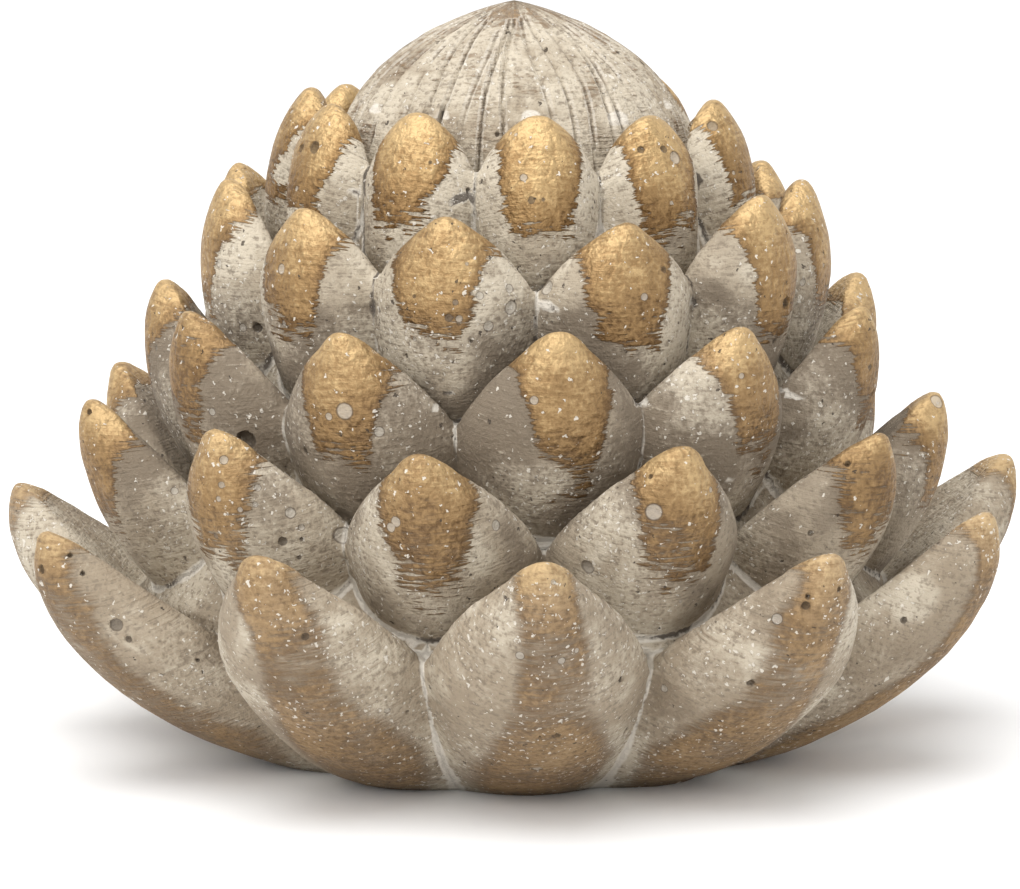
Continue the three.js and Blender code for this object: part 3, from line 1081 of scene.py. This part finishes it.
def castFinish():
    nodes = Nodes("goldBrushedCement")
    marks = readMarks(nodes)
    grain = makeGrain(nodes, marks)
    gold = goldCover(nodes, marks, grain)
    white, pinhole = fleckCover(nodes, marks, grain, gold)

    colour = nodes.mix(gold, cementColour(nodes, marks, grain), goldColour(nodes, marks, grain))
    colour = nodes.coat(colour, "limeAndHighlight", white, 0.8)
    # painted shade in the pinholes
    colour = nodes.coat(colour, "paintedShade", pinhole, 0.85)
    colour = colourGrooves(nodes, marks, grain, colour)
    colour, bubble = colourBubbles(nodes, marks, colour)

    bare = nodes.most(white, pinhole, bubble)
    metal = nodes.times(gold, nodes.math("SUBTRACT", 1.0, bare),
                        nodes.math("MULTIPLY_ADD", marks.wash, -0.3, 1.0), finish["goldMetal"])
    smoother = finish["goldRough"] - finish["cementRough"]
    rough = nodes.math("MULTIPLY_ADD", metal, smoother, finish["cementRough"])

    height = nodes.total(nodes.times(grain.fine, 0.55), (grain.coarse, 0.7),
                         (grain.strokes, 0.25), (nodes.times(grain.hammered, gold), 0.7),
                         (white, 0.1), (pinhole, -0.6))
    bump = nodes.add("ShaderNodeBump", Strength=finish["relief"], Distance=mm, Height=height)
    return nodes.shade(Base_Color=colour, Metallic=metal, Roughness=rough,
                       Normal=bump.outputs[0])


# a level floor that rises far out into a round backdrop: (reach, height) in metres
floorShape = {
    "profile": [(0, 0), (2.2, 0), (2.55, 0.06), (2.8, 0.25), (2.95, 0.6), (3.0, 1.6)],
    "steps": 48,
    "tones": ((0.92, 0.92, 0.92, 1), (0.9062, 0.9062, 0.9062, 1)),
    "rough": 0.9,
}

# round soft lights in metres and watts, aimed at the middle of the ornament
lights = {
    "overhead": {"place": (-0.2, -0.3, 1.5), "size": 1.6, "power": 17},
    "frontLeft": {"place": (-0.9, -1.5, 1.1), "size": 1.2, "power": 12},
}
lightAim = (0, 0, 0.06)


def floorFinish():
    nodes = Nodes("paleFloor")
    place = nodes.add("ShaderNodeTexCoord").outputs["Object"]
    tone = nodes.mix(nodes.noise(place, 3.0)["Fac"], *floorShape["tones"])
    return nodes.shade(Base_Color=tone, Roughness=floorShape["rough"])


def addFloor():
    mesh = bmesh.new()
    verts = [mesh.verts.new((reach, 0, height)) for reach, height in floorShape["profile"]]
    edges = [mesh.edges.new(pair) for pair in zip(verts, verts[1:])]
    bmesh.ops.spin(mesh, geom=verts + edges, cent=(0, 0, 0), axis=(0, 0, 1),
                   angle=2 * math.pi, steps=floorShape["steps"], use_merge=True)
    bmesh.ops.remove_doubles(mesh, verts=mesh.verts, dist=0.1 * mm)
    bmesh.ops.recalc_face_normals(mesh, faces=mesh.faces)
    floor = newPiece("floor", mesh)
    floor.data.shade_smooth()
    floor.data.materials.append(floorFinish())


def addLights():
    for name, settings in lights.items():
        data = bpy.data.lights.new(name, "AREA")
        data.shape = "DISK"
        data.size = settings["size"]
        data.energy = settings["power"]
        light = bpy.data.objects.new(name, data)
        light.location = settings["place"]
        away = Vector(settings["place"]) - Vector(lightAim)
        light.rotation_euler = away.to_track_quat("Z", "Y").to_euler()
        scene.collection.objects.link(light)
    scene.world = bpy.data.worlds.new("studio")
    scene.world.use_nodes = True
    room = scene.world.node_tree.nodes["Background"].inputs
    room["Color"].default_value = (1, 1, 1, 1)
    room["Strength"].default_value = 1.0
    scene.view_settings.view_transform = "Standard"


piece = leavesAndCore()
print("leaves and core joined:", len(piece.data.vertices), "points")
fuse(piece)
print("fused skin:", len(piece.data.polygons), "faces")
unevenSurface(piece)
joinDome(piece)
print("dome joined:", len(piece.data.polygons), "faces")
print("bubbles pressed in:", pressBubbles(piece), "and", len(piece.data.polygons), "faces now")
markPlaces(piece)
markTones(piece)
print("gold, seams, rims and tones marked")
piece.data.shade_smooth()
piece.data.set_sharp_from_angle(angle=math.radians(50))
piece.data.materials.clear()
piece.data.materials.append(castFinish())
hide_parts("artichoke")
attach(piece, "root")
addFloor()
addLights()
print("finish, floor and lights done")
